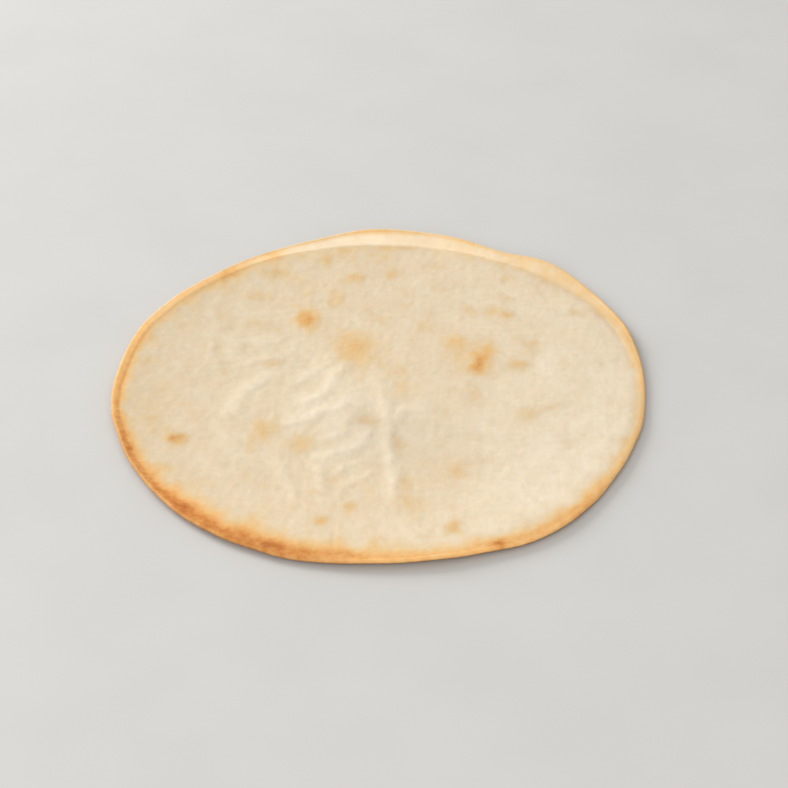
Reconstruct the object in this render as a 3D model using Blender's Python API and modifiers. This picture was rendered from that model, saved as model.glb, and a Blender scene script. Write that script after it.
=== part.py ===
"""A thin baked pizza crust, lying flat: a disc of dough with an uneven outline, an edge that
turns up into a narrow lip, higher at the rear, and folds and blisters in its top skin.

Metres, +Z up, +Y to the rear. The tables below hold millimetres and degrees; an azimuth is
counted from +X towards +Y, so 90 is the rear and -90 the front."""

import bpy
import numpy as np

MM = 0.001

# Driving dimensions
NODE_NAME = "crust"
RADIUS = 127.1 * MM
THICKNESS = 2.4 * MM
LIP_RISE = 0.9 * MM  # crown above the top of the disc, where the edge is plain
LIP_WIDTH = 2.6 * MM  # crease to outer edge, where the edge is plain
WIDTH_PER_RISE = 0.62  # how much wider the lip gets as it gets taller
CREASE_ROUND = 0.3  # of the lip's width
MARGIN_LIFT = 0.5 * MM  # of the outer edge off the table
MARGIN_WIDTH = 26 * MM  # over which the margin leaves the table

# Where the edge departs from that: (azimuth, spread in degrees, amount in mm)
OUTLINE_SWELLS = (
    (-80, 62, 3.4),
    (-55, 13, 4.5),
    (-120, 18, 2.4),
    (-88, 8, -0.6),
    (22, 18, 2.1),
    (43, 12, 1.9),
    (61, 9, -1.6),
    (90, 14, -0.9),
    (128, 27, -3.8),
    (172, 14, -1.8),
)
RISE_SWELLS = (
    (91, 14, 4.9),
    (70, 9, 2.3),
    (46, 12, 4.8),
    (22, 14, 1.7),
    (150, 40, 0.5),
    (-40, 44, -0.6),
    (-120, 40, -0.5),
)
LIFT_SWELLS = ((-82, 24, 1.5), (-45, 22, 0.5), (-135, 26, 0.6))

# The small waves that no edge of dough is without
WAVE_COUNTS = (7, 11, 16, 23, 31)  # waves round the edge
OUTLINE_WAVE = 0.28 * MM
RISE_WAVE = 0.2 * MM
WAVE_SEED = 4

# Folds in the top skin: (height, width of the flank on the crest's right, width on its left, then the
# points of the crest, along which one looks to tell right from left), all in mm
FOLDS = (
    (0.72, 3.0, 3.4, (2, -2), (3, -14), (4.5, -28), (5, -41), (6.3, -54), (8, -74), (9, -98)),
    (0.20, 2.6, 2.6, (-1, 20), (1, 4), (3, -14), (4.5, -28)),
    (0.55, 3.0, 3.2, (27, -16), (18, -19), (14, -21), (11, -24.5), (7, -33)),
    (0.58, 5.0, 2.6, (-18, 27), (-21.5, 20), (-25.5, 13.5), (-30.5, 7.5), (-36, 2.5), (-44, -4)),
    (0.80, 4.4, 3.2, (-14, 24), (-16.5, 14), (-21.5, -1), (-24.5, -7.5), (-28.5, -12.5), (-43, -19)),
    (0.80, 5.0, 3.2, (-9, -8), (-12, -13), (-17, -18), (-28, -25), (-34, -28), (-41, -31.5), (-50, -35)),
    (0.42, 3.0, 2.8, (-5, -11), (-9.5, -20), (-13.5, -27), (-19, -32.5), (-27, -38)),
    (0.36, 3.0, 2.6, (-8, -33), (-14, -38.5), (-21, -40.5), (-29, -43)),
    (0.62, 3.6, 3.0, (-2.5, -30), (-4, -38), (-6.5, -44), (-10.5, -49), (-17, -53), (-34, -59)),
    (0.45, 2.4, 2.0, (-3, -58), (-10, -61.5), (-15, -64), (-20, -69)),
    (0.45, 2.8, 2.2, (1, -63), (-6, -70), (-12, -76), (-17, -84)),
    (0.66, 5.0, 3.2, (-42, 11), (-53, 4.5), (-58, -1), (-62, -7), (-65.5, -14), (-68, -22), (-72, -32)),
    (0.46, 3.8, 2.4, (-38, 21), (-46, 20), (-53, 19), (-61, 17), (-70, 13)),
    (0.36, 3.0, 2.2, (-81, 40), (-81, 28), (-79, 17), (-75, 6)),
    (0.34, 4.2, 3.2, (-70, 40), (-69.5, 28), (-67, 16)),
    (0.38, 4.2, 2.8, (-44, 37), (-54, 34), (-64, 30)),
    (0.45, 3.0, 2.0, (-47, -54), (-42.5, -64), (-40.5, -72), (-37, -81), (-34, -92)),
    (0.45, 3.0, 2.2, (-27, -58), (-25, -68), (-24.5, -84)),
)
FOLD_FADE = 0.25  # of a fold's length, over which it dies away at each end

# Low blisters, most of them where the top is toasted, and a dent: (x, y, radius, height), all in mm
BLISTERS = (
    (-35, 52, 9, 0.45),
    (-12, 27, 14, 0.45),
    (52, 21, 10, 0.45),
    (39, 32, 9, 0.35),
    (68, 13, 8, 0.3),
    (71, -24, 8, 0.3),
    (-93, -43, 7, 0.35),
    (-52, -37, 9, 0.35),
    (-35, -45, 9, 0.25),
    (-43, -48, 6, 0.6),
    (34, -104, 6, 0.3),
    (24, -36, 11, 0.3),
    (22.5, -39.5, 6, -0.5),
    (37, -65, 8, 0.3),
    (-11, 88, 9, 0.3),
    (63, 57, 7, 0.3),
    (-61, 73, 8, 0.3),
)

# The disc's own slow unevenness: (wavelength, heading in degrees, phase, amplitude in mm)
SWELLS = ((96, 25, 0.4, 0.16), (71, 118, 2.1, 0.13), (52, 74, 4.0, 0.09), (43, 160, 1.2, 0.07))

# Mesh
TURNS = 240
TOP_SPACING = 2.0 * MM
MARGIN_SPACING = 1.1 * MM
UNDERSIDE_SPACING = 5.0 * MM
NOSE_STEPS = 8
TRIANGLES_KEPT = 0.21
SHARP_ANGLE = np.radians(50)

# Baked dough
DOUGH_COLOUR = (0.81, 0.66, 0.44, 1.0)
DOUGH_ROUGHNESS = 0.72


def clear_scene():
    for old in list(bpy.data.objects):
        bpy.data.objects.remove(old, do_unlink=True)


def swell_sum(azimuth, swells):
    """The swells' total, in metres, at each azimuth in degrees."""
    total = np.zeros_like(azimuth)
    for centre, spread, amount in swells:
        gap = (azimuth - centre + 180) % 360 - 180
        total += amount * MM * np.exp(-((gap / spread) ** 2))
    return total


def edge_waves(azimuth, size, seed):
    """Small waves round the edge, finer ones lower."""
    phases = np.random.default_rng(seed).uniform(0, 2 * np.pi, len(WAVE_COUNTS))
    total = np.zeros_like(azimuth)
    for count, phase in zip(WAVE_COUNTS, phases):
        total += np.sin(count * np.radians(azimuth) + phase) * WAVE_COUNTS[0] / count
    return size * total


def outline(azimuth):
    """Radius of the outer edge."""
    return RADIUS + swell_sum(azimuth, OUTLINE_SWELLS) + edge_waves(azimuth, OUTLINE_WAVE, WAVE_SEED)


def lip_rise(azimuth):
    """How far the lip's crown stands above the top of the disc."""
    return LIP_RISE + swell_sum(azimuth, RISE_SWELLS) + edge_waves(azimuth, RISE_WAVE, WAVE_SEED + 1)


def smooth_step(value):
    value = np.clip(value, 0, 1)
    return value * value * (3 - 2 * value)


def sheet_height(radius, azimuth):
    """Height of the middle of the sheet: flat, then the lifted margin and the turned-up lip."""
    rise = lip_rise(azimuth)
    width = LIP_WIDTH + WIDTH_PER_RISE * rise
    edge = outline(azimuth) - THICKNESS / 2
    along = np.clip((radius - edge + width) / width, 0, None)
    ramp = np.hypot(along, CREASE_ROUND) - CREASE_ROUND
    full_ramp = np.hypot(1, CREASE_ROUND) - CREASE_ROUND
    lift = MARGIN_LIFT + swell_sum(azimuth, LIFT_SWELLS)
    margin = smooth_step((radius - edge + MARGIN_WIDTH) / MARGIN_WIDTH / 2) * 2
    return THICKNESS / 2 + rise * ramp / full_ramp + lift * margin


def rounded(points):
    """The line through the points with its corners cut off, twice."""
    for _ in range(2):
        near = points[:-1] * 0.75 + points[1:] * 0.25
        far = points[:-1] * 0.25 + points[1:] * 0.75
        cut = np.stack([near, far], axis=1).reshape(-1, 2)
        points = np.concatenate([points[:1], cut, points[-1:]])
    return points


def distance_to_crest(x, y, crest):
    """Distance to a line through the points, positive on its right, and how far along it, 0 to 1."""
    nearest = np.full_like(x, np.inf)
    share = np.zeros_like(x)
    spans = np.hypot(*np.diff(crest, axis=0).T)
    before = 0.0
    for start, end, span in zip(crest[:-1], crest[1:], spans):
        way = (end - start) / span
        along = (x - start[0]) * way[0] + (y - start[1]) * way[1]
        across = (x - start[0]) * way[1] - (y - start[1]) * way[0]
        t = np.clip(along, 0, span)
        away = np.hypot(across, along - t)
        closer = away < np.abs(nearest)
        share[closer] = ((before + t) / spans.sum())[closer]
        nearest[closer] = (away * np.where(across < 0, -1, 1))[closer]
        before += span
    return nearest, share


def fold_relief(x, y):
    """Height of the folds, each with two flanks of its own."""
    height = np.zeros_like(x)
    for crown, right, left, *points in FOLDS:
        away, share = distance_to_crest(x, y, rounded(np.array(points) * MM))
        flank = np.where(away > 0, right, left) * MM
        fade = smooth_step(share / FOLD_FADE) * smooth_step((1 - share) / FOLD_FADE)
        height += crown * MM * fade * np.exp(-((away / flank) ** 2))
    return height


def top_relief(x, y):
    """Height of the folds, blisters and slow swells of the top skin."""
    height = fold_relief(x, y)
    for wavelength, heading, phase, amplitude in SWELLS:
        way = np.radians(heading)
        turns = (x * np.cos(way) + y * np.sin(way)) / (wavelength * MM)
        height += amplitude * MM * np.sin(2 * np.pi * turns + phase)
    for at_x, at_y, radius, crown in BLISTERS:
        away = np.hypot(x - at_x * MM, y - at_y * MM) / (radius * MM)
        height += crown * MM * np.exp(-(away**2) * 1.5)
    return height


def profile_points():
    """The plain disc's section, from the top's centre out round the edge to the underside's."""
    edge = RADIUS - THICKNESS / 2
    margin = edge - MARGIN_WIDTH / 2
    top = np.append(
        np.arange(0, margin, TOP_SPACING), np.arange(margin, edge, MARGIN_SPACING)
    )
    underside = np.append(
        np.arange(edge - MARGIN_SPACING, margin, -MARGIN_SPACING * 2),
        np.arange(margin, UNDERSIDE_SPACING, -UNDERSIDE_SPACING),
    )
    nose = np.linspace(np.pi / 2, -np.pi / 2, NOSE_STEPS + 1)
    points = [(r, 0, THICKNESS) for r in top]
    for angle in nose:
        out = edge + THICKNESS / 2 * np.cos(angle)
        points.append((out, 0, THICKNESS / 2 * (1 + np.sin(angle))))
    points += [(r, 0, 0) for r in underside]
    return points + [(0, 0, 0)]


def turned_disc():
    """The plain disc as a mesh, turned from its section."""
    points = profile_points()
    section = bpy.data.meshes.new("section")
    section.from_pydata(points, [(i, i + 1) for i in range(len(points) - 1)], [])
    guide = bpy.data.objects.new("section", section)
    bpy.context.scene.collection.objects.link(guide)
    screw = guide.modifiers.new("turn", "SCREW")
    screw.steps = TURNS
    screw.render_steps = TURNS
    screw.use_merge_vertices = True
    screw.merge_threshold = 0.00001
    graph = bpy.context.evaluated_depsgraph_get()
    mesh = bpy.data.meshes.new_from_object(guide.evaluated_get(graph))
    bpy.data.objects.remove(guide, do_unlink=True)
    bpy.data.meshes.remove(section)
    return mesh


def shaped(points):
    """The plain disc's points moved to where they lie on the baked crust."""
    x, y, z = points.T
    radius = np.hypot(x, y)
    azimuth = np.degrees(np.arctan2(y, x))
    edge = RADIUS - THICKNESS / 2
    stretch = 1 + (outline(azimuth) - RADIUS) / edge * smooth_step(radius / edge)
    middle = np.minimum(radius, edge)
    out = radius - middle
    up = z - THICKNESS / 2
    middle = middle * stretch
    step = 0.05 * MM
    rise = sheet_height(middle + step, azimuth) - sheet_height(middle - step, azimuth)
    slope = np.arctan2(rise, 2 * step)
    away = middle + out * np.cos(slope) - up * np.sin(slope)
    height = sheet_height(middle, azimuth) + out * np.sin(slope) + up * np.cos(slope)
    way = np.radians(azimuth)
    moved = np.stack([away * np.cos(way), away * np.sin(way), height], axis=1)
    on_top = smooth_step(z / THICKNESS * 2 - 1)
    clear_of_edge = smooth_step((edge - radius) / (8 * MM))
    moved[:, 2] += top_relief(moved[:, 0], moved[:, 1]) * on_top * clear_of_edge
    return moved


def settle(points):
    """Centres the crust over the origin, with its underside at z = 0."""
    low, high = points.min(axis=0), points.max(axis=0)
    centre = (low + high) / 2
    return points - (centre[0], centre[1], low[2])


def dough_material():
    material = bpy.data.materials.new("baked_dough")
    material.use_nodes = True
    shader = material.node_tree.nodes["Principled BSDF"]
    shader.inputs["Base Color"].default_value = DOUGH_COLOUR
    shader.inputs["Roughness"].default_value = DOUGH_ROUGHNESS
    shader.inputs["Metallic"].default_value = 0.0
    return material


def make_crust(collection):
    mesh = turned_disc()
    mesh.name = NODE_NAME
    points = np.empty(len(mesh.vertices) * 3)
    mesh.vertices.foreach_get("co", points)
    points = settle(shaped(points.reshape(-1, 3)))
    mesh.vertices.foreach_set("co", points.ravel())
    mesh.shade_smooth()
    mesh.set_sharp_from_angle(angle=SHARP_ANGLE)
    mesh.materials.append(dough_material())
    crust = bpy.data.objects.new(NODE_NAME, mesh)
    collection.objects.link(crust)
    fewer = crust.modifiers.new("fewer_triangles", "DECIMATE")
    fewer.ratio = TRIANGLES_KEPT
    fewer.use_collapse_triangulate = True
    return crust


def main():
    clear_scene()
    collection = bpy.data.collections.new("pizza_crust")
    bpy.context.scene.collection.children.link(collection)
    make_crust(collection)


main()
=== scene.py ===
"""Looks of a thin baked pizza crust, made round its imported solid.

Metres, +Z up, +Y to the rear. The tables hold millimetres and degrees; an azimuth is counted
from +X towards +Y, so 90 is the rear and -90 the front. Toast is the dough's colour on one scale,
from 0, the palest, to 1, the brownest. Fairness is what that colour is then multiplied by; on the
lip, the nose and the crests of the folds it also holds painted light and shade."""

import math

import bpy
import numpy as np
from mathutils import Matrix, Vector


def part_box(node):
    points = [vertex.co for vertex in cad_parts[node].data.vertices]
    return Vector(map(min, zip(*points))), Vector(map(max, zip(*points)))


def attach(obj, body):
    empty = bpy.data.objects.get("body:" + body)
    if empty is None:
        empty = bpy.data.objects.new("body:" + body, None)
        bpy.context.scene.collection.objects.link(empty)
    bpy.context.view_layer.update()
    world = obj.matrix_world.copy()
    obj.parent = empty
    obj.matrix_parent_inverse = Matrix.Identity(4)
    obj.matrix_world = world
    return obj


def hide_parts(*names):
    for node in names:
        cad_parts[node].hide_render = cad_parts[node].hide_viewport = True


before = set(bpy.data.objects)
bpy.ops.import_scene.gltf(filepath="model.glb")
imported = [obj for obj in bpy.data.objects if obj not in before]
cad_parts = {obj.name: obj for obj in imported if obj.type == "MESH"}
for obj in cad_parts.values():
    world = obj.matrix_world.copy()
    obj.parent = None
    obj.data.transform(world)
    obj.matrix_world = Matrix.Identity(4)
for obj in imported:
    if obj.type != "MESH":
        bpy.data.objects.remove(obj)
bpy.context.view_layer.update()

MM = 0.001

# ---------------------------------------------------------------- form, as the solid has it
RADIUS = 127.1 * MM
THICKNESS = 2.4 * MM
LIP_RISE = 0.9 * MM  # crown above the top of the disc, where the edge is plain
LIP_WIDTH = 2.6 * MM  # crease to outer edge, where the edge is plain
WIDTH_PER_RISE = 0.62  # how much wider the lip gets as it gets taller
CREASE_ROUND = 0.3  # of the lip's width
MARGIN_LIFT = 0.5 * MM  # of the outer edge off the table
MARGIN_WIDTH = 26 * MM  # over which the margin leaves the table

# Where the edge departs from that: (azimuth, spread in degrees, amount in mm)
OUTLINE_SWELLS = (
    (-80, 62, 3.4),
    (-55, 13, 4.5),
    (-120, 18, 2.4),
    (-88, 8, -0.6),
    (22, 18, 2.1),
    (43, 12, 1.9),
    (61, 9, -1.6),
    (90, 14, -0.9),
    (128, 27, -3.8),
    (172, 14, -1.8),
)
RISE_SWELLS = (
    (91, 14, 4.9),
    (70, 9, 2.3),
    (46, 12, 4.8),
    (22, 14, 1.7),
    (150, 40, 0.5),
    (-40, 44, -0.6),
    (-120, 40, -0.5),
)
LIFT_SWELLS = ((-82, 24, 1.5), (-45, 22, 0.5), (-135, 26, 0.6))
WAVE_COUNTS = (7, 11, 16, 23, 31)  # waves round the edge
OUTLINE_WAVE = 0.28 * MM
RISE_WAVE = 0.2 * MM
WAVE_SEED = 4
SLOPE_STEP = 0.05 * MM  # each way, to find the sheet's slope

# Folds in the top skin, in mm: (height, width of the flank on the crest's right, width on its left,
# then the points of the crest); right and left are as seen when looking along those points
FOLDS = (
    (0.72, 3.0, 3.4, (2, -2), (3, -14), (4.5, -28), (5, -41), (6.3, -54), (8, -74), (9, -98)),
    (0.20, 2.6, 2.6, (-1, 20), (1, 4), (3, -14), (4.5, -28)),
    (0.55, 3.0, 3.2, (27, -16), (18, -19), (14, -21), (11, -24.5), (7, -33)),
    (0.58, 5.0, 2.6, (-18, 27), (-21.5, 20), (-25.5, 13.5), (-30.5, 7.5), (-36, 2.5), (-44, -4)),
    (0.80, 4.4, 3.2, (-14, 24), (-16.5, 14), (-21.5, -1), (-24.5, -7.5), (-28.5, -12.5), (-43, -19)),
    (0.80, 5.0, 3.2, (-9, -8), (-12, -13), (-17, -18), (-28, -25), (-34, -28), (-41, -31.5), (-50, -35)),
    (0.42, 3.0, 2.8, (-5, -11), (-9.5, -20), (-13.5, -27), (-19, -32.5), (-27, -38)),
    (0.36, 3.0, 2.6, (-8, -33), (-14, -38.5), (-21, -40.5), (-29, -43)),
    (0.62, 3.6, 3.0, (-2.5, -30), (-4, -38), (-6.5, -44), (-10.5, -49), (-17, -53), (-34, -59)),
    (0.45, 2.4, 2.0, (-3, -58), (-10, -61.5), (-15, -64), (-20, -69)),
    (0.45, 2.8, 2.2, (1, -63), (-6, -70), (-12, -76), (-17, -84)),
    (0.66, 5.0, 3.2, (-42, 11), (-53, 4.5), (-58, -1), (-62, -7), (-65.5, -14), (-68, -22), (-72, -32)),
    (0.46, 3.8, 2.4, (-38, 21), (-46, 20), (-53, 19), (-61, 17), (-70, 13)),
    (0.36, 3.0, 2.2, (-81, 40), (-81, 28), (-79, 17), (-75, 6)),
    (0.34, 4.2, 3.2, (-70, 40), (-69.5, 28), (-67, 16)),
    (0.38, 4.2, 2.8, (-44, 37), (-54, 34), (-64, 30)),
    (0.45, 3.0, 2.0, (-47, -54), (-42.5, -64), (-40.5, -72), (-37, -81), (-34, -92)),
    (0.45, 3.0, 2.2, (-27, -58), (-25, -68), (-24.5, -84)),
)
FOLD_FADE = 0.25  # of a fold's length, over which it dies away at each end

# Low blisters, most of them where the top is toasted, and a dent: (x, y, radius, height) in mm
BLISTERS = (
    (-35, 52, 9, 0.45),
    (-12, 27, 14, 0.45),
    (52, 21, 10, 0.45),
    (39, 32, 9, 0.35),
    (68, 13, 8, 0.3),
    (71, -24, 8, 0.3),
    (-93, -43, 7, 0.35),
    (-52, -37, 9, 0.35),
    (-35, -45, 9, 0.25),
    (-43, -48, 6, 0.6),
    (34, -104, 6, 0.3),
    (24, -36, 11, 0.3),
    (22.5, -39.5, 6, -0.5),
    (37, -65, 8, 0.3),
    (-11, 88, 9, 0.3),
    (63, 57, 7, 0.3),
    (-61, 73, 8, 0.3),
)
MOUND_FALL = 1.5  # how fast a mound falls off towards its radius

# The disc's own slow unevenness: (wavelength, heading in degrees, phase, amplitude in mm)
SWELLS = ((96, 25, 0.4, 0.16), (71, 118, 2.1, 0.13), (52, 74, 4.0, 0.09), (43, 160, 1.2, 0.07))
RELIEF_CLEARANCE = 8 * MM  # from the root of the nose, over which the top's relief comes in

# ---------------------------------------------------------------- relief finer than the solid's
# The lengths of waves are given from shortest to longest, in mm
FOLD_STRAY = 0.45 * MM  # of the crests to either side
FOLD_STRAY_WAVES = (8.0, 22.0)
FOLD_STRAY_SEEDS = (41, 42)
PEEL_WAVES = (4.0, 9.0)  # the skin's all-over unevenness
PEEL_HEIGHT = 0.045 * MM
PEEL_SEED = 21
WRINKLE_WAVES = (5.5, 11.0)  # slanting wrinkles round the folds left of the middle
WRINKLE_HEIGHT = 0.04 * MM
WRINKLE_SEED = 22
WRINKLE_HEADING = 128  # across the wrinkles
WRINKLE_TURN = 28  # to either side of that
WRINKLE_MIDDLE = (-24, -34)
WRINKLE_REACH = 58

# Bumps too small for the solid: (x, y, radius, height) in mm
BUMPS = (
    (-18, -39, 6.5, 0.25),
    (57, 10, 3.6, 0.2),
    (8, -22, 3.2, 0.2),
    (-14, -75, 4.2, 0.16),
    (-1, 2, 3.6, 0.14),
    (-72, 24, 4.0, 0.14),
    (38, -48, 4.0, 0.14),
)
NIP = (-18.5, -112, 9, 0.7, -0.35)  # a short crack across the margin: x, y, length, width, height
EDGE_WAVES = (2.5, 6.0)  # the edge's roughness, seen from above
EDGE_UPRIGHT_WAVES = (1.5, 3.0)
EDGE_SEEDS = (23, 24)
EDGE_ROUGHNESS = 0.05 * MM

# ---------------------------------------------------------------- toast
PLAIN_TOAST = 0.17
TOAST_PER_METRE = (-0.55, 0.25)  # the dough pales to the right and the front
FAIRNESS_MIDDLE = 0.99
FAIRNESS_PER_METRE = (0.34, -0.4)  # and the colour is made lighter towards the same sides
FAIRNESS_DROP = -4.2  # a square metre of x: the colour is made darker towards both sides

# What broad patches of the top add: (x, y, radius, toast, fairness)
PATCHES = (
    (8, -42, 36, 0.0, -0.11),
    (-70, 48, 58, -0.05, 0.0),
    (-28, 30, 20, -0.03, 0.0),
    (84, -70, 46, -0.045, 0.015),
    (80, 18, 16, -0.04, 0.02),
    (-44, 4, 18, 0.01, -0.022),
    (52, -44, 34, 0.012, -0.02),
    (-46, -68, 18, 0.02, -0.022),
)
CREST_FLOUR_AND_PAINTED_HIGHLIGHT_TOAST = -0.1  # a millimetre of fold; crests painted paler, partly as flour and partly as painted highlight
CREST_FLOUR_AND_PAINTED_HIGHLIGHT_FAIRNESS = 0.04  # a millimetre of fold; crests painted lighter, partly as flour and partly as painted highlight
WRINKLED_TOAST = -0.06

# Spots on the top: (x, y, half length, half width, heading of the length, toast), mm and degrees
SPOTS = (
    (-35.5, 52, 9.2, 6.4, 100, 0.35),
    (-34, 52, 4.5, 3, 100, 0.07),
    (-12, 27, 16, 12, 105, 0.25),
    (52, 20.5, 12, 5.4, 70, 0.34),
    (48, 12.5, 5.4, 4.4, 70, 0.28),
    (40, 30, 11, 9, 110, 0.2),
    (36, 34, 5, 4, 80, 0.05),
    (67, 13.5, 5.6, 5.4, 30, 0.22),
    (71, -24, 6.6, 6, 90, 0.18),
    (64, 56, 3.8, 4, 0, 0.17),
    (-93, -43, 3.9, 3.8, 0, 0.33),
    (-93, -42.5, 7, 5, 0, 0.08),
    (-52, -36, 11, 7, 95, 0.22),
    (-35.5, -46, 9, 7, 95, 0.2),
    (-5, -29, 6.2, 4, 160, 0.2),
    (34, -105, 4.8, 3.8, 90, 0.32),
    (-24.5, -101, 3.6, 2.8, 90, 0.2),
    (-24.5, -101, 6, 4, 90, 0.06),
    (-12, -91, 3.2, 2.6, 90, 0.14),
    (-12, -91, 5.4, 3.6, 90, 0.06),
    (36.5, -66, 5.2, 4, 120, 0.16),
    (50, -59, 5, 4.4, 0, 0.08),
    (9.5, -46, 8, 3.4, 95, 0.18),
    (13, -74, 5, 3.6, 90, 0.16),
    (14, -88.5, 5.4, 4.4, 80, 0.13),
    (-27, 105, 5.4, 4, 90, 0.14),
    (-11, 88, 7.4, 4.6, 20, 0.16),
    (8, 93, 6, 5, 90, 0.1),
    (27, 100, 7, 3.6, 0, 0.08),
    (-20.5, 71, 8.5, 4, 95, 0.12),
    (65, 88, 4, 3.4, 90, 0.12),
    (-53, 93, 6, 4.4, 0, 0.17),
    (-61, 73, 5.4, 4, 80, 0.12),
    (-78.5, 57, 7, 3, 90, 0.1),
    (-78, 26, 9, 2.8, 95, 0.08),
    (-60, 48, 7, 5, 150, 0.08),
    (-50, 17, 5, 4.6, 0, 0.11),
    (45, -12, 7, 5.2, 90, 0.1),
    (11, -3.5, 8, 3.4, 95, 0.1),
    (77, 31, 6, 4, 90, 0.16),
    (98, 56.5, 4, 3.4, 90, 0.13),
    (90, 13, 8, 4.4, 90, 0.08),
    (82.5, -18, 4.6, 4, 30, 0.15),
    (88, -46, 5, 3.6, 90, 0.1),
    (45, 62, 4, 4, 0, 0.08),
    (56, 60, 5, 4, 0, 0.08),
    (66, 69, 3.4, 3, 0, 0.08),
    (-20, -72, 6.6, 4, 95, 0.07),
    (26, 46, 6, 6, 0, 0.06),
    (20, 5, 22, 18, 90, 0.05),
    (30, -60, 20, 14, 90, 0.05),
    (-2, -84, 46, 24, 0, 0.07),
    (-76, 91, 5, 3.4, 40, 0.16),
    (-54, 107.5, 5, 3, 25, 0.16),
    (-18, 114, 5, 2.6, 5, 0.1),
    (3, 115.5, 5, 2.4, 0, 0.1),
    (14, 116, 4.6, 2.4, -5, 0.1),
    (-117, -40, 4, 3, 110, 0.1),
    (-112.5, -50, 5, 3.4, 115, 0.14),
    (-84, -91.5, 4.4, 3.6, 130, 0.14),
    (-44.5, -118, 3.8, 2.8, 165, 0.13),
    (-12, -123, 5.4, 3, 175, 0.1),
    (54, -117.5, 3.6, 3.4, 10, 0.3),
)
SPOT_EDGE = 2.0  # power of the distance: the higher, the more sudden a spot's edge
SPOT_WARP = 0.5 * MM  # how far a spot's outline strays
SPOT_WARP_WAVES = (5, 12)
SPOT_WARP_SEEDS = (31, 32)
LARGE_SPOT = 8  # half length from which a spot counts as large
SPOT_FAIRNESS = (-0.3, -0.1)  # a unit of its toast: of a small spot, of a large one
FRECKLES = 130
FRECKLE_SIZES = (2.2, 6.0)  # half length
FRECKLE_SHAPES = (0.45, 0.9)  # half width, of the half length
FRECKLE_HEADINGS = (60, 120)
FRECKLE_TOASTS = (0.02, 0.08)
FRECKLE_SEED = 11
FRECKLE_CLEARANCE = 10 * MM  # from the edge

# The lip and margin, from the crown in over the face to the foot: (azimuth; toast of crown, face and
# foot; how far in from the nose the crown ends and the foot lies, and over how far the foot's toast
# then dies away, in mm; fairness of crown, face and foot). The fairness columns are painted light and
# shade on the lip: the crown and face at the rear carry a painted glow of the thin lit lip, and the
# crown at the front a painted highlight on the nose. The face's pale toast at the rear is painted light
# too.
MARGIN_WITH_PAINTED_LIGHT = (
    (-172, 0.53, 0.63, 0.65, 1.6, 2.9, 2.8, 1.21, 1.19, 1.12),
    (-165, 0.57, 0.67, 0.69, 0.9, 2.8, 3.4, 1.10, 1.04, 1.01),
    (-150, 0.56, 0.69, 0.71, 0.5, 2.2, 4.8, 0.98, 1.01, 1.07),
    (-135, 0.62, 0.85, 0.85, 0.4, 3.4, 6.4, 1.00, 1.20, 1.21),
    (-120, 0.71, 0.81, 0.82, 0.4, 3.8, 7.8, 1.01, 1.03, 1.04),
    (-105, 0.66, 0.76, 0.77, 0.4, 4.8, 6.2, 1.03, 1.02, 1.02),
    (-90, 0.53, 0.57, 0.55, 0.8, 3.0, 7.4, 1.24, 1.06, 1.04),
    (-75, 0.51, 0.54, 0.51, 1.0, 2.8, 6.0, 1.23, 1.03, 1.03),
    (-60, 0.52, 0.54, 0.51, 0.9, 4.0, 5.8, 1.24, 1.00, 1.00),
    (-45, 0.58, 0.61, 0.59, 0.8, 2.8, 5.2, 1.10, 0.98, 0.98),
    (-30, 0.47, 0.44, 0.42, 0.8, 2.4, 4.6, 1.13, 0.88, 0.92),
    (-15, 0.46, 0.43, 0.41, 0.8, 2.2, 3.6, 1.10, 0.82, 0.89),
    (0, 0.44, 0.42, 0.38, 0.8, 2.2, 3.0, 1.10, 0.92, 0.97),
    (15, 0.48, 0.44, 0.39, 1.0, 2.8, 3.2, 1.02, 0.84, 0.89),
    (30, 0.40, 0.32, 0.34, 1.5, 4.2, 3.8, 1.06, 0.96, 0.89),
    (45, 0.37, 0.30, 0.30, 1.8, 7.0, 3.6, 1.03, 1.04, 0.91),
    (60, 0.36, 0.25, 0.27, 1.8, 7.0, 3.8, 1.14, 1.15, 0.94),
    (75, 0.37, 0.22, 0.25, 1.7, 9.2, 3.8, 1.27, 1.31, 1.00),
    (90, 0.41, 0.11, 0.23, 2.2, 8.6, 3.8, 1.31, 1.43, 1.02),
    (105, 0.36, 0.15, 0.25, 1.8, 7.4, 4.0, 1.33, 1.38, 0.98),
    (120, 0.38, 0.30, 0.39, 1.8, 5.4, 4.4, 1.33, 1.44, 0.91),
    (135, 0.42, 0.42, 0.45, 2.2, 4.6, 4.4, 1.42, 1.23, 0.96),
    (150, 0.40, 0.43, 0.43, 3.0, 4.8, 3.8, 1.45, 1.25, 0.92),
    (165, 0.48, 0.51, 0.51, 2.5, 4.2, 3.0, 1.40, 1.20, 0.93),
    (180, 0.49, 0.60, 0.61, 2.2, 3.3, 2.6, 1.29, 1.28, 1.20),
)
CROWN_FROM = (0.5, 1.5)  # where the face's colour comes in, of the crown's width
FOOT_FROM = (0.6, 1.0)  # where the foot's comes in, of the way from nose to foot
MARGIN_FALL = 1.4  # power of the distance, by which the foot's toast dies away
REACH_WAVES = (23, 37, 52)  # unevenness of that distance, in waves round the edge
REACH_PHASE = 2.1  # radians a wave
REACH_UNEVENNESS = 0.12
REAR_LEFT = (135, 75)  # azimuth and spread of the edge whose lower half is left untoasted, and whose nose gets painted shade
LOW_EDGE_TOAST_AND_SHADE = 0.2  # on the edge's lower half, away from the rear left: partly browning from below, partly painted shade under the edge
REAR_LEFT_PAINTED_SHADE = -0.28  # painted shade, darkening the nose there, where the key lamp shines on it
NOSE_REACH = 1.5  # of the nose's radius, how far in from the outer edge it ends
UNDERSIDE_REACH = 2 * THICKNESS  # in from the outer edge, where the underside's own toast is full
UNDERSIDE_TOAST = 0.34

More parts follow.
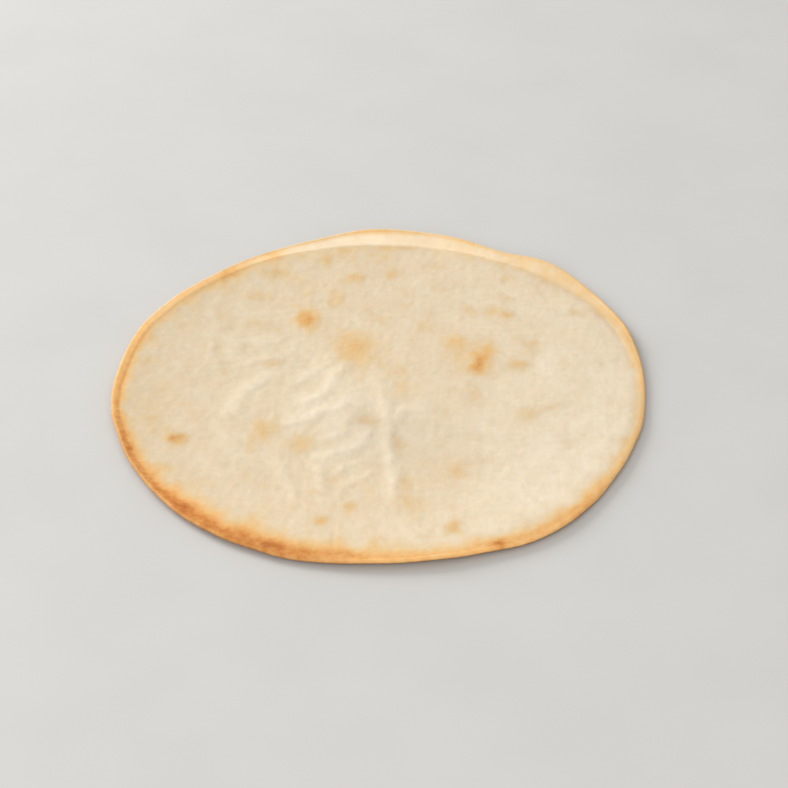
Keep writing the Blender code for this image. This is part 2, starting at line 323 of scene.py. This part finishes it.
# ---------------------------------------------------------------- mesh
GRID_HALF = 88  # cells from the middle of the top out to the margin's rings
RINGS_WIDTH = 16 * MM  # the margin's rings, from their inmost one out to the nose
RING_SPACINGS = ((16.0, 8.0, 1.0), (8.0, 0.0, 0.5))  # from, to, spacing: mm in from the nose
UNDERSIDE_SPACING = 1.6  # mm
NOSE_STEPS = 12
CORNER_CUT = 0.25  # of a span, in from each corner of a crest


def swell(azimuth, centre, spread):
    """1 at the centre's azimuth, falling away to both sides."""
    gap = (azimuth - centre + 180) % 360 - 180
    return np.exp(-((gap / spread) ** 2))


def swell_sum(azimuth, swells):
    """The swells' total, in metres, at each azimuth in degrees."""
    return sum(amount * MM * swell(azimuth, centre, spread) for centre, spread, amount in swells)


def edge_waves(azimuth, size, seed):
    """Small waves round the edge, finer ones lower."""
    phases = np.random.default_rng(seed).uniform(0, 2 * np.pi, len(WAVE_COUNTS))
    total = np.zeros_like(azimuth)
    for count, phase in zip(WAVE_COUNTS, phases):
        total += np.sin(count * np.radians(azimuth) + phase) * WAVE_COUNTS[0] / count
    return size * total


def outline(azimuth):
    """Radius of the outer edge."""
    swells = swell_sum(azimuth, OUTLINE_SWELLS)
    return RADIUS + swells + edge_waves(azimuth, OUTLINE_WAVE, WAVE_SEED)


def lip_rise(azimuth):
    """How far the lip's crown stands above the top of the disc."""
    swells = swell_sum(azimuth, RISE_SWELLS)
    return LIP_RISE + swells + edge_waves(azimuth, RISE_WAVE, WAVE_SEED + 1)


def lip_width(azimuth):
    """How far the lip reaches in from the outer edge."""
    return LIP_WIDTH + WIDTH_PER_RISE * lip_rise(azimuth)


def smooth_step(value):
    """From 0 to 1, starting and ending level."""
    value = np.clip(value, 0, 1)
    return value * value * (3 - 2 * value)


def sheet_height(radius, azimuth):
    """Height of the middle of the sheet: flat, then the lifted margin and the turned-up lip."""
    edge = outline(azimuth) - THICKNESS / 2
    width = lip_width(azimuth)
    along = np.clip((radius - edge + width) / width, 0, None)
    ramp = np.hypot(along, CREASE_ROUND) - CREASE_ROUND
    full_ramp = np.hypot(1, CREASE_ROUND) - CREASE_ROUND
    lift = MARGIN_LIFT + swell_sum(azimuth, LIFT_SWELLS)
    margin = smooth_step((radius - edge + MARGIN_WIDTH) / MARGIN_WIDTH / 2) * 2
    return THICKNESS / 2 + lip_rise(azimuth) * ramp / full_ramp + lift * margin


def rounded(points):
    """The line through the points with its corners cut off, twice."""
    for _ in range(2):
        near = points[:-1] * (1 - CORNER_CUT) + points[1:] * CORNER_CUT
        far = points[:-1] * CORNER_CUT + points[1:] * (1 - CORNER_CUT)
        cut = np.stack([near, far], axis=1).reshape(-1, 2)
        points = np.concatenate([points[:1], cut, points[-1:]])
    return points


def distance_to_crest(x, y, crest):
    """Distance to a crest, positive on its right, and how far along it that is, 0 to 1."""
    nearest = np.full_like(x, np.inf)
    share = np.zeros_like(x)
    spans = np.hypot(*np.diff(crest, axis=0).T)
    before = 0.0
    for start, end, span in zip(crest[:-1], crest[1:], spans):
        way = (end - start) / span
        along = (x - start[0]) * way[0] + (y - start[1]) * way[1]
        across = (x - start[0]) * way[1] - (y - start[1]) * way[0]
        t = np.clip(along, 0, span)
        away = np.hypot(across, along - t)
        closer = away < np.abs(nearest)
        share[closer] = ((before + t) / spans.sum())[closer]
        nearest[closer] = (away * np.where(across < 0, -1, 1))[closer]
        before += span
    return nearest, share


def random_waves(x, y, wavelengths, seed, heading=0.0, turn=180.0, count=16):
    """Crossing waves in seeded directions, 1 in root mean square."""
    draw = np.random.default_rng(seed)
    total = np.zeros_like(x)
    for _ in range(count):
        way = np.radians(heading + draw.uniform(-turn, turn))
        length = draw.uniform(*wavelengths) * MM
        phase = draw.uniform(0, 2 * np.pi)
        total += np.sin((x * np.cos(way) + y * np.sin(way)) * 2 * np.pi / length + phase)
    return total * np.sqrt(2 / count)


def mound(x, y, at_x, at_y, radius):
    """A round swelling, 1 high."""
    away_squared = (x - at_x * MM) ** 2 + (y - at_y * MM) ** 2
    return np.exp(-MOUND_FALL * away_squared / (radius * MM) ** 2)


def strayed(x, y, amount, wavelengths, seeds):
    """The place, moved a little both ways by waves."""
    across = random_waves(x, y, wavelengths, seeds[0])
    along = random_waves(x, y, wavelengths, seeds[1])
    return x + amount * across, y + amount * along


def fold_relief(x, y):
    """Height of the folds, each with two flanks of its own and a crest that strays a little."""
    x, y = strayed(x, y, FOLD_STRAY, FOLD_STRAY_WAVES, FOLD_STRAY_SEEDS)
    height = np.zeros_like(x)
    for crown, right, left, *points in FOLDS:
        away, share = distance_to_crest(x, y, rounded(np.array(points) * MM))
        flank = np.where(away > 0, right, left) * MM
        fade = smooth_step(share / FOLD_FADE) * smooth_step((1 - share) / FOLD_FADE)
        height += crown * MM * fade * np.exp(-((away / flank) ** 2))
    return height


def top_relief(x, y):
    """Height of the folds, blisters and slow swells of the top skin, and of its finer relief."""
    height = fold_relief(x, y)
    for wavelength, heading, phase, amplitude in SWELLS:
        way = np.radians(heading)
        turns = (x * np.cos(way) + y * np.sin(way)) / (wavelength * MM)
        height += amplitude * MM * np.sin(2 * np.pi * turns + phase)
    for at_x, at_y, radius, crown in BLISTERS + BUMPS:
        height += crown * MM * mound(x, y, at_x, at_y, radius)
    height += PEEL_HEIGHT * random_waves(x, y, PEEL_WAVES, PEEL_SEED)
    wrinkled = mound(x, y, *WRINKLE_MIDDLE, WRINKLE_REACH)
    wrinkles = random_waves(x, y, WRINKLE_WAVES, WRINKLE_SEED, WRINKLE_HEADING, WRINKLE_TURN)
    return height + WRINKLE_HEIGHT * wrinkled * wrinkles


def nip_relief(x, y):
    """Depth of the crack, below 0."""
    at_x, at_y, length, width, depth = np.array(NIP) * MM
    return depth * np.exp(-(((x - at_x) / width) ** 2) - ((y - at_y) / length) ** 4)


def shaped(points):
    """The plain disc's points moved to where they lie on the baked crust."""
    x, y, z = points.T
    radius = np.hypot(x, y)
    azimuth = np.degrees(np.arctan2(y, x))
    edge = RADIUS - THICKNESS / 2
    stretch = 1 + (outline(azimuth) - RADIUS) / edge * smooth_step(radius / edge)
    middle = np.minimum(radius, edge)
    out = radius - middle
    up = z - THICKNESS / 2
    middle = middle * stretch
    rise = sheet_height(middle + SLOPE_STEP, azimuth) - sheet_height(middle - SLOPE_STEP, azimuth)
    slope = np.arctan2(rise, 2 * SLOPE_STEP)
    away = middle + out * np.cos(slope) - up * np.sin(slope)
    height = sheet_height(middle, azimuth) + out * np.sin(slope) + up * np.cos(slope)
    way = np.radians(azimuth)
    moved = np.stack([away * np.cos(way), away * np.sin(way), height], axis=1)
    on_top = smooth_step(z / THICKNESS * 2 - 1)
    clear_of_edge = smooth_step((edge - radius) / RELIEF_CLEARANCE)
    relief = top_relief(moved[:, 0], moved[:, 1]) * clear_of_edge
    moved[:, 2] += (relief + nip_relief(moved[:, 0], moved[:, 1])) * on_top
    return moved + edge_roughness(moved, smooth_step((radius - edge) / THICKNESS * 2 + 1))


def edge_roughness(points, share):
    """Small dents that draw the edge in, never past the plain outline."""
    x, y, z = points.T
    waves = random_waves(x, y, EDGE_WAVES, EDGE_SEEDS[0])
    waves += random_waves(z, x + y, EDGE_UPRIGHT_WAVES, EDGE_SEEDS[1])
    inwards = -EDGE_ROUGHNESS * share * (1 + np.clip(waves / 2, -1, 1))
    radius = np.maximum(np.hypot(x, y), MM)
    return np.stack([inwards * x / radius, inwards * y / radius, np.zeros_like(z)], axis=1)


def margin_toast_and_painted_light(azimuth, inset):
    """The margin's toast, and its fairness of painted light and shade, that far in from the outer edge,
    and how much they count.
    """
    table = np.array(MARGIN_WITH_PAINTED_LIGHT)
    rows = [np.interp(azimuth, table[:, 0], row, period=360) for row in table.T[1:]]
    toasts, (crown_width, foot_inset, reach), painted_light_columns = rows[:3], rows[3:6], rows[6:]
    way = np.radians(azimuth)
    uneven = sum(np.sin(count * way + REACH_PHASE * count) for count in REACH_WAVES)
    reach = reach * MM * (1 + REACH_UNEVENNESS * uneven)
    foot_inset = foot_inset * MM
    crown_share = inset / (crown_width * MM)
    at_face = smooth_step((crown_share - CROWN_FROM[0]) / (CROWN_FROM[1] - CROWN_FROM[0]))
    at_foot = smooth_step((inset / foot_inset - FOOT_FROM[0]) / (FOOT_FROM[1] - FOOT_FROM[0]))
    toast, fairness = (
        crown + (face - crown) * at_face * (1 - at_foot) + (foot - crown) * at_foot
        for crown, face, foot in (toasts, painted_light_columns)
    )
    past_foot = np.clip(inset - foot_inset, 0, None) / reach
    return toast, fairness, np.exp(-(past_foot**MARGIN_FALL))


def freckles():
    """Small faint spots all over the top, as rows like those of the spots."""
    draw = np.random.default_rng(FRECKLE_SEED)
    reach = (RADIUS - FRECKLE_CLEARANCE) / MM
    rows = []
    for _ in range(FRECKLES):
        way = draw.uniform(0, 2 * np.pi)
        away = reach * np.sqrt(draw.uniform())
        long = draw.uniform(*FRECKLE_SIZES)
        short = long * draw.uniform(*FRECKLE_SHAPES)
        heading = draw.uniform(*FRECKLE_HEADINGS)
        toast = draw.uniform(*FRECKLE_TOASTS)
        rows.append((away * np.cos(way), away * np.sin(way), long, short, heading, toast))
    return tuple(rows)


def spot_toast(x, y):
    """Toast and fairness that the spots and freckles add on the top."""
    x, y = strayed(x, y, SPOT_WARP, SPOT_WARP_WAVES, SPOT_WARP_SEEDS)
    total = np.zeros_like(x)
    fairness = np.zeros_like(x)
    for at_x, at_y, long, short, heading, toast in SPOTS + freckles():
        way = np.radians(heading)
        along = (x - at_x * MM) * np.cos(way) + (y - at_y * MM) * np.sin(way)
        across = (y - at_y * MM) * np.cos(way) - (x - at_x * MM) * np.sin(way)
        away = np.hypot(along / long, across / short) / MM
        spot = toast * np.exp(-(away**SPOT_EDGE))
        total += spot
        fairness += spot * SPOT_FAIRNESS[long >= LARGE_SPOT]
    return total, fairness


def surface_fields(plain, moved):
    """Toast and fairness of each point, and how much it counts as underneath."""
    radius = np.hypot(plain[:, 0], plain[:, 1])
    azimuth = np.degrees(np.arctan2(plain[:, 1], plain[:, 0]))
    x, y = moved[:, 0], moved[:, 1]
    folded = fold_relief(x, y) / MM
    wrinkled = mound(x, y, *WRINKLE_MIDDLE, WRINKLE_REACH)
    toast = PLAIN_TOAST + TOAST_PER_METRE[0] * x + TOAST_PER_METRE[1] * y
    # Crests paler and lighter: partly flour, partly painted highlight.
    toast += CREST_FLOUR_AND_PAINTED_HIGHLIGHT_TOAST * folded + WRINKLED_TOAST * wrinkled
    fairness = FAIRNESS_MIDDLE + FAIRNESS_PER_METRE[0] * x + FAIRNESS_PER_METRE[1] * y
    # This lifts the crests too: partly flour, partly painted highlight.
    fairness += FAIRNESS_DROP * x**2 + CREST_FLOUR_AND_PAINTED_HIGHLIGHT_FAIRNESS * folded
    for at_x, at_y, reach, more_toast, more_fairness in PATCHES:
        patch = mound(x, y, at_x, at_y, reach)
        toast += more_toast * patch
        fairness += more_fairness * patch
    margin, margin_painted_light, counts = margin_toast_and_painted_light(azimuth, RADIUS - radius)
    spots, spots_fairness = spot_toast(x, y)
    toast = toast + (margin - toast) * counts + spots
    # The margin's fairness is painted light and shade on the lip and nose.
    fairness = fairness + (margin_painted_light - fairness) * counts + spots_fairness
    low_edge = smooth_step((THICKNESS / 2 - plain[:, 2]) / (THICKNESS / 2))
    near_edge = smooth_step(1 - (RADIUS - radius) / UNDERSIDE_REACH)
    on_nose = smooth_step(NOSE_REACH - (RADIUS - radius) / (THICKNESS / 2))
    rear_left = swell(azimuth, *REAR_LEFT)
    # The edge's lower half is darkened: partly browning, partly painted shade under the edge.
    toast += LOW_EDGE_TOAST_AND_SHADE * low_edge * near_edge * (1 - rear_left)
    # Painted shade darkens the nose at the rear left.
    fairness += REAR_LEFT_PAINTED_SHADE * rear_left * on_nose
    underneath = (1 - smooth_step(plain[:, 2] / THICKNESS)) * (1 - near_edge)
    toast += (UNDERSIDE_TOAST - toast) * underneath
    fairness += (1 - fairness) * underneath
    return toast, fairness, underneath


def disc_grid(radii):
    """Points, faces and rim of a disc: square rings of cells bent round, one radius a ring."""
    half = len(radii) - 1
    step = np.arange(-half, half + 1)
    i, j = np.meshgrid(step, step, indexing="ij")
    ring = np.maximum(np.abs(i), np.abs(j))
    wide = np.abs(i) >= np.abs(j)
    safe_i = np.where(i == 0, 1, i)
    safe_j = np.where(j == 0, 1, j)
    way = np.where(
        wide,
        np.pi / 4 * j / safe_i + np.where(i < 0, np.pi, 0),
        np.pi / 2 - np.pi / 4 * i / safe_j + np.where(j < 0, np.pi, 0),
    )
    radius = np.array(radii)[ring]
    points = np.stack([radius * np.cos(way), radius * np.sin(way)], axis=-1).reshape(-1, 2)
    index = np.arange(len(points)).reshape(ring.shape)
    corners = [index[:-1, :-1], index[1:, :-1], index[1:, 1:], index[:-1, 1:]]
    faces = np.stack(corners, axis=-1).reshape(-1, 4)
    rim = index[ring == half]
    rim = rim[np.argsort(np.mod(way[ring == half], 2 * np.pi))]
    return points, faces, rim


def margin_section():
    """The plain disc's section between its grids: out along the top, round the nose and back.

    The first point is left out, because it is the upper grid's rim; the last is the lower one's."""
    edge = RADIUS - THICKNESS / 2
    section = []
    for start, end, spacing in RING_SPACINGS:
        for inset in np.arange(start, end, -spacing):
            section.append((edge - inset * MM, THICKNESS))
    for angle in np.linspace(np.pi / 2, -np.pi / 2, NOSE_STEPS + 1):
        out = edge + THICKNESS / 2 * np.cos(angle)
        section.append((out, THICKNESS / 2 * (1 + np.sin(angle))))
    for inset in np.arange(UNDERSIDE_SPACING, RINGS_WIDTH / MM, UNDERSIDE_SPACING):
        section.append((edge - inset * MM, 0.0))
    return section[1:] + [(edge - RINGS_WIDTH, 0.0)]


def plain_disc():
    """Points and faces of the plain disc: a grid above, one below, and rings round the margin."""
    inner = RADIUS - THICKNESS / 2 - RINGS_WIDTH
    flat, cells, rim = disc_grid(np.linspace(0, inner, GRID_HALF + 1))
    around = np.arctan2(flat[rim, 1], flat[rim, 0])
    top = np.column_stack([flat, np.full(len(flat), THICKNESS)])
    parts = [top]
    rings = [rim]
    count = len(top)
    section = margin_section()
    for radius, height in section[:-1]:
        ring = [radius * np.cos(around), radius * np.sin(around), np.full(len(rim), height)]
        parts.append(np.column_stack(ring))
        rings.append(np.arange(count, count + len(rim)))
        count += len(rim)
    parts.append(np.column_stack([flat, np.zeros(len(flat))]))
    rings.append(rim + count)
    faces = [cells, cells[:, ::-1] + count]
    for near, far in zip(rings[:-1], rings[1:]):
        faces.append(np.stack([near, far, np.roll(far, -1), np.roll(near, -1)], axis=-1))
    return np.concatenate(parts), np.concatenate(faces)


def settle(points):
    """Centres the crust over its solid, with its underside on the table."""
    low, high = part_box("crust")
    middle = (points.min(axis=0) + points.max(axis=0)) / 2
    points = points - (middle[0], middle[1], points[:, 2].min())
    return points + ((low.x + high.x) / 2, (low.y + high.y) / 2, low.z)


def make_crust():
    """The crust's visible mesh, with its toast, fairness and underside as fields on its points."""
    plain, faces = plain_disc()
    moved = shaped(plain)
    toast, fairness, underneath = surface_fields(plain, moved)
    mesh = bpy.data.meshes.new("baked_crust")
    mesh.from_pydata(settle(moved).tolist(), [], faces.tolist())
    fields = {"toast": toast, "fairness": fairness, "underneath": underneath}
    for name, values in fields.items():
        layer = mesh.attributes.new(name, "FLOAT", "POINT")
        layer.data.foreach_set("value", values.astype(np.float32))
    mesh.shade_smooth()
    mesh.materials.append(dough_material())
    crust = bpy.data.objects.new("baked_crust", mesh)
    bpy.context.scene.collection.objects.link(crust)
    return crust


# ---------------------------------------------------------------- materials
# Dough from palest to brownest: (toast, red, green, blue), as seen under the studio's light
DOUGH_COLOURS = (
    (0.0, 244, 230, 205),
    (0.2, 234, 214, 182),
    (0.35, 236, 203, 152),
    (0.5, 238, 188, 122),
    (0.65, 229, 166, 96),
    (0.8, 212, 139, 68),
    (1.0, 184, 104, 46),
)
LIGHT_ON_TOP = 1.3  # of a white that is just full
BROWNED = (0.3, 0.75)  # toast from and to which dough turns from pale to browned

# Noises in the dough: (size in mm, octaves, roughness, distortion)
PATCHY = (15, 4, 0.62, 0.8)
CLOUDS = (11, 3, 0.6, 0.0)
LUMPS = (7, 3, 0.57, 0.3)
STRIPES = (4.5, 1, 0.5, 0.0)
STRIPES_TURN = 38
STRIPES_SCALE = (1.0, 0.42, 1.0)
MOTTLES = (3.4, 1, 0.5, 0.3)
SPECKS = (0.9, 3, 0.6, 0.0)
GRAIN = (0.32, 2, 0.5, 0.0)

# What they add to the toast, from end to end; where there are two numbers, the second is how much
# more they add to browned dough
CLOUDS_TOAST = 0.2
STRIPES_TOAST = 0.1
MOTTLES_TOAST = (0.12, 0.24)
SPECKS_TOAST = (0.02, 0.17)
PATCHY_TOAST = 0.36  # underneath alone
PATCHY_FROM = (0.46, 0.66)

# To the fairness
LUMPS_FAIRNESS = 0.13
SPECKS_FAIRNESS = 0.02

# And to the height, in mm
LUMPS_HEIGHT = 0.3
STRIPES_HEIGHT = 0.17
MOTTLES_HEIGHT = 0.17
SPECKS_HEIGHT = 0.016
GRAIN_HEIGHT = 0.006

# Scattered pores
PORE_SPACING = 3.4
PORE_SIZE = 0.62
PORE_HEIGHT = -0.05
PORE_TINT = (0.84, 0.74, 0.6, 1.0)
PORE_STRENGTH = 0.14

# A trace of flour, where the grain and the clouds stand high
FLOUR_COLOUR = (248, 238, 220)
FLOUR_CLOUDS = 0.4
FLOUR_FROM = (0.52, 0.72)
FLOUR_STRENGTH = 0.06

# Gloss, and light that goes under the skin
ROUGHNESS = 0.76
BROWNED_ROUGHNESS = -0.1
SPECKS_ROUGHNESS = 0.16
SPECULAR = 0.14
SUBSURFACE = 0.2
SUBSURFACE_RADIUS = (1.0, 0.55, 0.3)
SUBSURFACE_SCALE = 2.0 * MM

FLOOR_NOISE = (60, 3, 0.5, 0.0)
FLOOR_FROM = (0.3, 0.7)
FLOOR_COLOURS = ((0.505, 0.498, 0.484, 1), (0.52, 0.513, 0.499, 1))
FLOOR_ROUGHNESS = 0.8


def linear(red, green, blue):
    """An sRGB colour seen on the crust's top, as the share of light that gives it there."""
    shares = []
    for value in (red, green, blue):
        value = value / 255
        straight = value / 12.92 if value <= 0.04045 else ((value + 0.055) / 1.055) ** 2.4
        shares.append(straight / LIGHT_ON_TOP)
    return (*shares, 1.0)


class Graph:
    """Short names for the shader nodes that a material is made of."""

    def __init__(self, name):
        self.material = bpy.data.materials.new(name)
        self.material.use_nodes = True
        self.tree = self.material.node_tree
        self.shader = self.tree.nodes["Principled BSDF"]
        self.place = self.tree.nodes.new("ShaderNodeTexCoord").outputs["Object"]

    def put(self, socket, value):
        """Links the value to the socket if it is a socket too, and sets it there otherwise."""
        if isinstance(value, bpy.types.NodeSocket):
            self.tree.links.new(value, socket)
        else:
            socket.default_value = value

    def math(self, operation, *values):
        node = self.tree.nodes.new("ShaderNodeMath")
        node.operation = operation
        for socket, value in zip(node.inputs, values):
            self.put(socket, value)
        return node.outputs[0]

    def add(self, first, *others):
        for other in others:
            first = self.math("ADD", first, other)
        return first

    def attribute(self, name):
        node = self.tree.nodes.new("ShaderNodeAttribute")
        node.attribute_name = name
        return node.outputs["Fac"]

    def stretched(self, turn, scale):
        """The place, turned about Z and stretched."""
        node = self.tree.nodes.new("ShaderNodeMapping")
        self.put(node.inputs["Vector"], self.place)
        node.inputs["Rotation"].default_value = (0, 0, math.radians(turn))
        node.inputs["Scale"].default_value = scale
        return node.outputs[0]

    def noise(self, size, detail, roughness, distortion, place=None):
        """Noise from 0 to 1 with features of about that size, in mm."""
        node = self.tree.nodes.new("ShaderNodeTexNoise")
        self.put(node.inputs["Vector"], place or self.place)
        node.inputs["Scale"].default_value = 1 / (size * MM)
        node.inputs["Detail"].default_value = detail
        node.inputs["Roughness"].default_value = roughness
        node.inputs["Distortion"].default_value = distortion
        return node.outputs["Fac"]

    def about_zero(self, value, amount):
        """A 0 to 1 value moved to lie about 0, times the amount."""
        return self.math("MULTIPLY", self.math("SUBTRACT", value, 0.5), amount)

    def between(self, value, low, high):
        """The value's way from low to high, smoothed, from 0 to 1."""
        node = self.tree.nodes.new("ShaderNodeMapRange")
        node.interpolation_type = "SMOOTHSTEP"
        for socket, number in zip(node.inputs, (value, low, high)):
            self.put(socket, number)
        return node.outputs[0]

    def pores(self, spacing, size):
        """1 in the middle of scattered pores, 0 outside them, both sizes in mm."""
        node = self.tree.nodes.new("ShaderNodeTexVoronoi")
        self.put(node.inputs["Vector"], self.place)
        node.inputs["Scale"].default_value = 1 / (spacing * MM)
        return self.between(node.outputs["Distance"], size / spacing / 2, 0.0)

    def ramp(self, value, stops):
        """The colour at the value, between stops of (position, red, green, blue)."""
        node = self.tree.nodes.new("ShaderNodeValToRGB")
        while len(node.color_ramp.elements) < len(stops):
            node.color_ramp.elements.new(0.5)
        for element, (position, *colour) in zip(node.color_ramp.elements, stops):
            element.position = position
            element.color = linear(*colour)
        self.put(node.inputs[0], value)
        return node.outputs[0]

    def scale(self, colour, factor):
        """The colour, made that much lighter."""
        node = self.tree.nodes.new("ShaderNodeVectorMath")
        node.operation = "SCALE"
        self.put(node.inputs[0], colour)
        self.put(node.inputs["Scale"], factor)
        return node.outputs[0]

    def mix(self, blend, share, first, second):
        node = self.tree.nodes.new("ShaderNodeMix")
        node.data_type = "RGBA"
        node.blend_type = blend
        self.put(node.inputs["Factor"], share)
        self.put(node.inputs[6], first)
        self.put(node.inputs[7], second)
        return node.outputs[2]


def dough_colour(g, noises, toast, browned):
    """Toast made uneven and turned into colour, with a trace of flour and pores."""
    mottles_toast = g.math("MULTIPLY_ADD", browned, MOTTLES_TOAST[1], MOTTLES_TOAST[0])
    specks_toast = g.math("MULTIPLY_ADD", browned, SPECKS_TOAST[1], SPECKS_TOAST[0])
    patchy = g.between(g.noise(*PATCHY), *PATCHY_FROM)
    level = g.add(
        toast,
        g.about_zero(noises["clouds"], CLOUDS_TOAST),
        g.about_zero(noises["stripes"], STRIPES_TOAST),
        g.about_zero(noises["mottles"], mottles_toast),
        g.about_zero(noises["specks"], specks_toast),
        g.math("MULTIPLY", g.math("MULTIPLY", patchy, g.attribute("underneath")), PATCHY_TOAST),
    )
    colour = g.ramp(level, DOUGH_COLOURS)
    high_grain = g.add(noises["grain"], g.about_zero(noises["clouds"], FLOUR_CLOUDS))
    flour = g.math("MULTIPLY", g.between(high_grain, *FLOUR_FROM), FLOUR_STRENGTH)
    colour = g.mix("MIX", flour, colour, linear(*FLOUR_COLOUR))
    pores = g.math("MULTIPLY", noises["pores"], PORE_STRENGTH)
    colour = g.mix("MULTIPLY", pores, colour, PORE_TINT)
    fairness = g.add(
        g.attribute("fairness"),
        g.about_zero(noises["lumps"], LUMPS_FAIRNESS),
        g.about_zero(noises["specks"], SPECKS_FAIRNESS),
    )
    return g.scale(colour, fairness)


def dough_bump(g, noises):
    """The skin's finest relief, as a normal."""
    height = g.add(
        g.about_zero(noises["lumps"], LUMPS_HEIGHT),
        g.about_zero(noises["mottles"], MOTTLES_HEIGHT),
        g.about_zero(noises["stripes"], STRIPES_HEIGHT),
        g.about_zero(noises["specks"], SPECKS_HEIGHT),
        g.about_zero(noises["grain"], GRAIN_HEIGHT),
        g.math("MULTIPLY", noises["pores"], PORE_HEIGHT),
    )
    bump = g.tree.nodes.new("ShaderNodeBump")
    bump.inputs["Strength"].default_value = 1.0
    bump.inputs["Distance"].default_value = MM
    g.put(bump.inputs["Height"], height)
    return bump.outputs[0]


def dough_material():
    """Baked dough: a floury cream skin, mottled, with pores, and toast where the mesh says."""
    g = Graph("baked_dough")
    toast = g.attribute("toast")
    browned = g.between(toast, *BROWNED)
    noises = {
        "clouds": g.noise(*CLOUDS),
        "lumps": g.noise(*LUMPS),
        "stripes": g.noise(*STRIPES, g.stretched(STRIPES_TURN, STRIPES_SCALE)),
        "mottles": g.noise(*MOTTLES),
        "specks": g.noise(*SPECKS),
        "grain": g.noise(*GRAIN),
        "pores": g.pores(PORE_SPACING, PORE_SIZE),
    }
    g.put(g.shader.inputs["Base Color"], dough_colour(g, noises, toast, browned))
    g.put(g.shader.inputs["Normal"], dough_bump(g, noises))
    roughness = g.math("MULTIPLY_ADD", browned, BROWNED_ROUGHNESS, ROUGHNESS)
    roughness = g.add(roughness, g.about_zero(noises["specks"], SPECKS_ROUGHNESS))
    g.put(g.shader.inputs["Roughness"], roughness)
    g.shader.inputs["Specular IOR Level"].default_value = SPECULAR
    g.shader.inputs["Subsurface Weight"].default_value = SUBSURFACE
    g.shader.inputs["Subsurface Radius"].default_value = SUBSURFACE_RADIUS
    g.shader.inputs["Subsurface Scale"].default_value = SUBSURFACE_SCALE
    return g.material


def floor_material():
    """Plain pale matt floor with the faintest mottling."""
    g = Graph("studio_floor")
    shade = g.between(g.noise(*FLOOR_NOISE), *FLOOR_FROM)
    g.put(g.shader.inputs["Base Color"], g.mix("MIX", shade, *FLOOR_COLOURS))
    g.shader.inputs["Roughness"].default_value = FLOOR_ROUGHNESS
    return g.material


# ---------------------------------------------------------------- studio
FLOOR_HALF = 12.0
FLOOR_GAP = 0.1 * MM  # keeps the floor's plane off the flat underside
LENS = 100.32
CAMERA_AZIMUTH = -90
CAMERA_ELEVATION = 37.5
CAMERA_DISTANCE = 1048.8 * MM
CAMERA_TARGET = (7.07 * MM, -3.45 * MM, 0.0)
# (name, azimuth and elevation it shines from, distance, side, watts)
LIGHTS = (
    ("key", 140, 28, 2.4, 1.2, 46.6),
    ("front_fill", 252, 38, 2.4, 1.4, 22.4),
)
SKY_COLOUR = (1.0, 0.985, 0.96, 1.0)
SKY_STRENGTH = 0.725


def direction(azimuth, elevation):
    """Unit vector from the crust towards that azimuth and elevation, in degrees."""
    way, rise = math.radians(azimuth), math.radians(elevation)
    return Vector((math.cos(way) * math.cos(rise), math.sin(way) * math.cos(rise), math.sin(rise)))


def aim(thing, target, back, distance):
    """Puts a camera or lamp into the scene that far back from its target, looking at it."""
    thing.location = Vector(target) + back * distance
    thing.rotation_mode = "QUATERNION"
    thing.rotation_quaternion = back.to_track_quat("Z", "Y")
    bpy.context.scene.collection.objects.link(thing)


def make_camera():
    lens = bpy.data.cameras.new("camera")
    lens.lens = LENS
    camera = bpy.data.objects.new("camera", lens)
    back = direction(CAMERA_AZIMUTH, CAMERA_ELEVATION)
    aim(camera, CAMERA_TARGET, back, CAMERA_DISTANCE)
    bpy.context.scene.camera = camera


def make_lights():
    for name, azimuth, elevation, distance, side, watts in LIGHTS:
        lamp = bpy.data.lights.new(name, "AREA")
        lamp.size = side
        lamp.energy = watts
        aim(bpy.data.objects.new(name, lamp), (0, 0, 0), direction(azimuth, elevation), distance)
    world = bpy.data.worlds.new("sky")
    world.use_nodes = True
    background = world.node_tree.nodes["Background"]
    background.inputs["Color"].default_value = SKY_COLOUR
    background.inputs["Strength"].default_value = SKY_STRENGTH
    bpy.context.scene.world = world
    bpy.context.scene.view_settings.view_transform = "Standard"


def make_floor():
    corners = [(-1, -1), (1, -1), (1, 1), (-1, 1)]
    mesh = bpy.data.meshes.new("floor")
    points = [(x * FLOOR_HALF, y * FLOOR_HALF, -FLOOR_GAP) for x, y in corners]
    mesh.from_pydata(points, [], [(0, 1, 2, 3)])
    mesh.materials.append(floor_material())
    floor = bpy.data.objects.new("floor", mesh)
    bpy.context.scene.collection.objects.link(floor)


make_camera()
make_lights()
make_floor()
crust = make_crust()
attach(crust, "root")
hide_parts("crust")
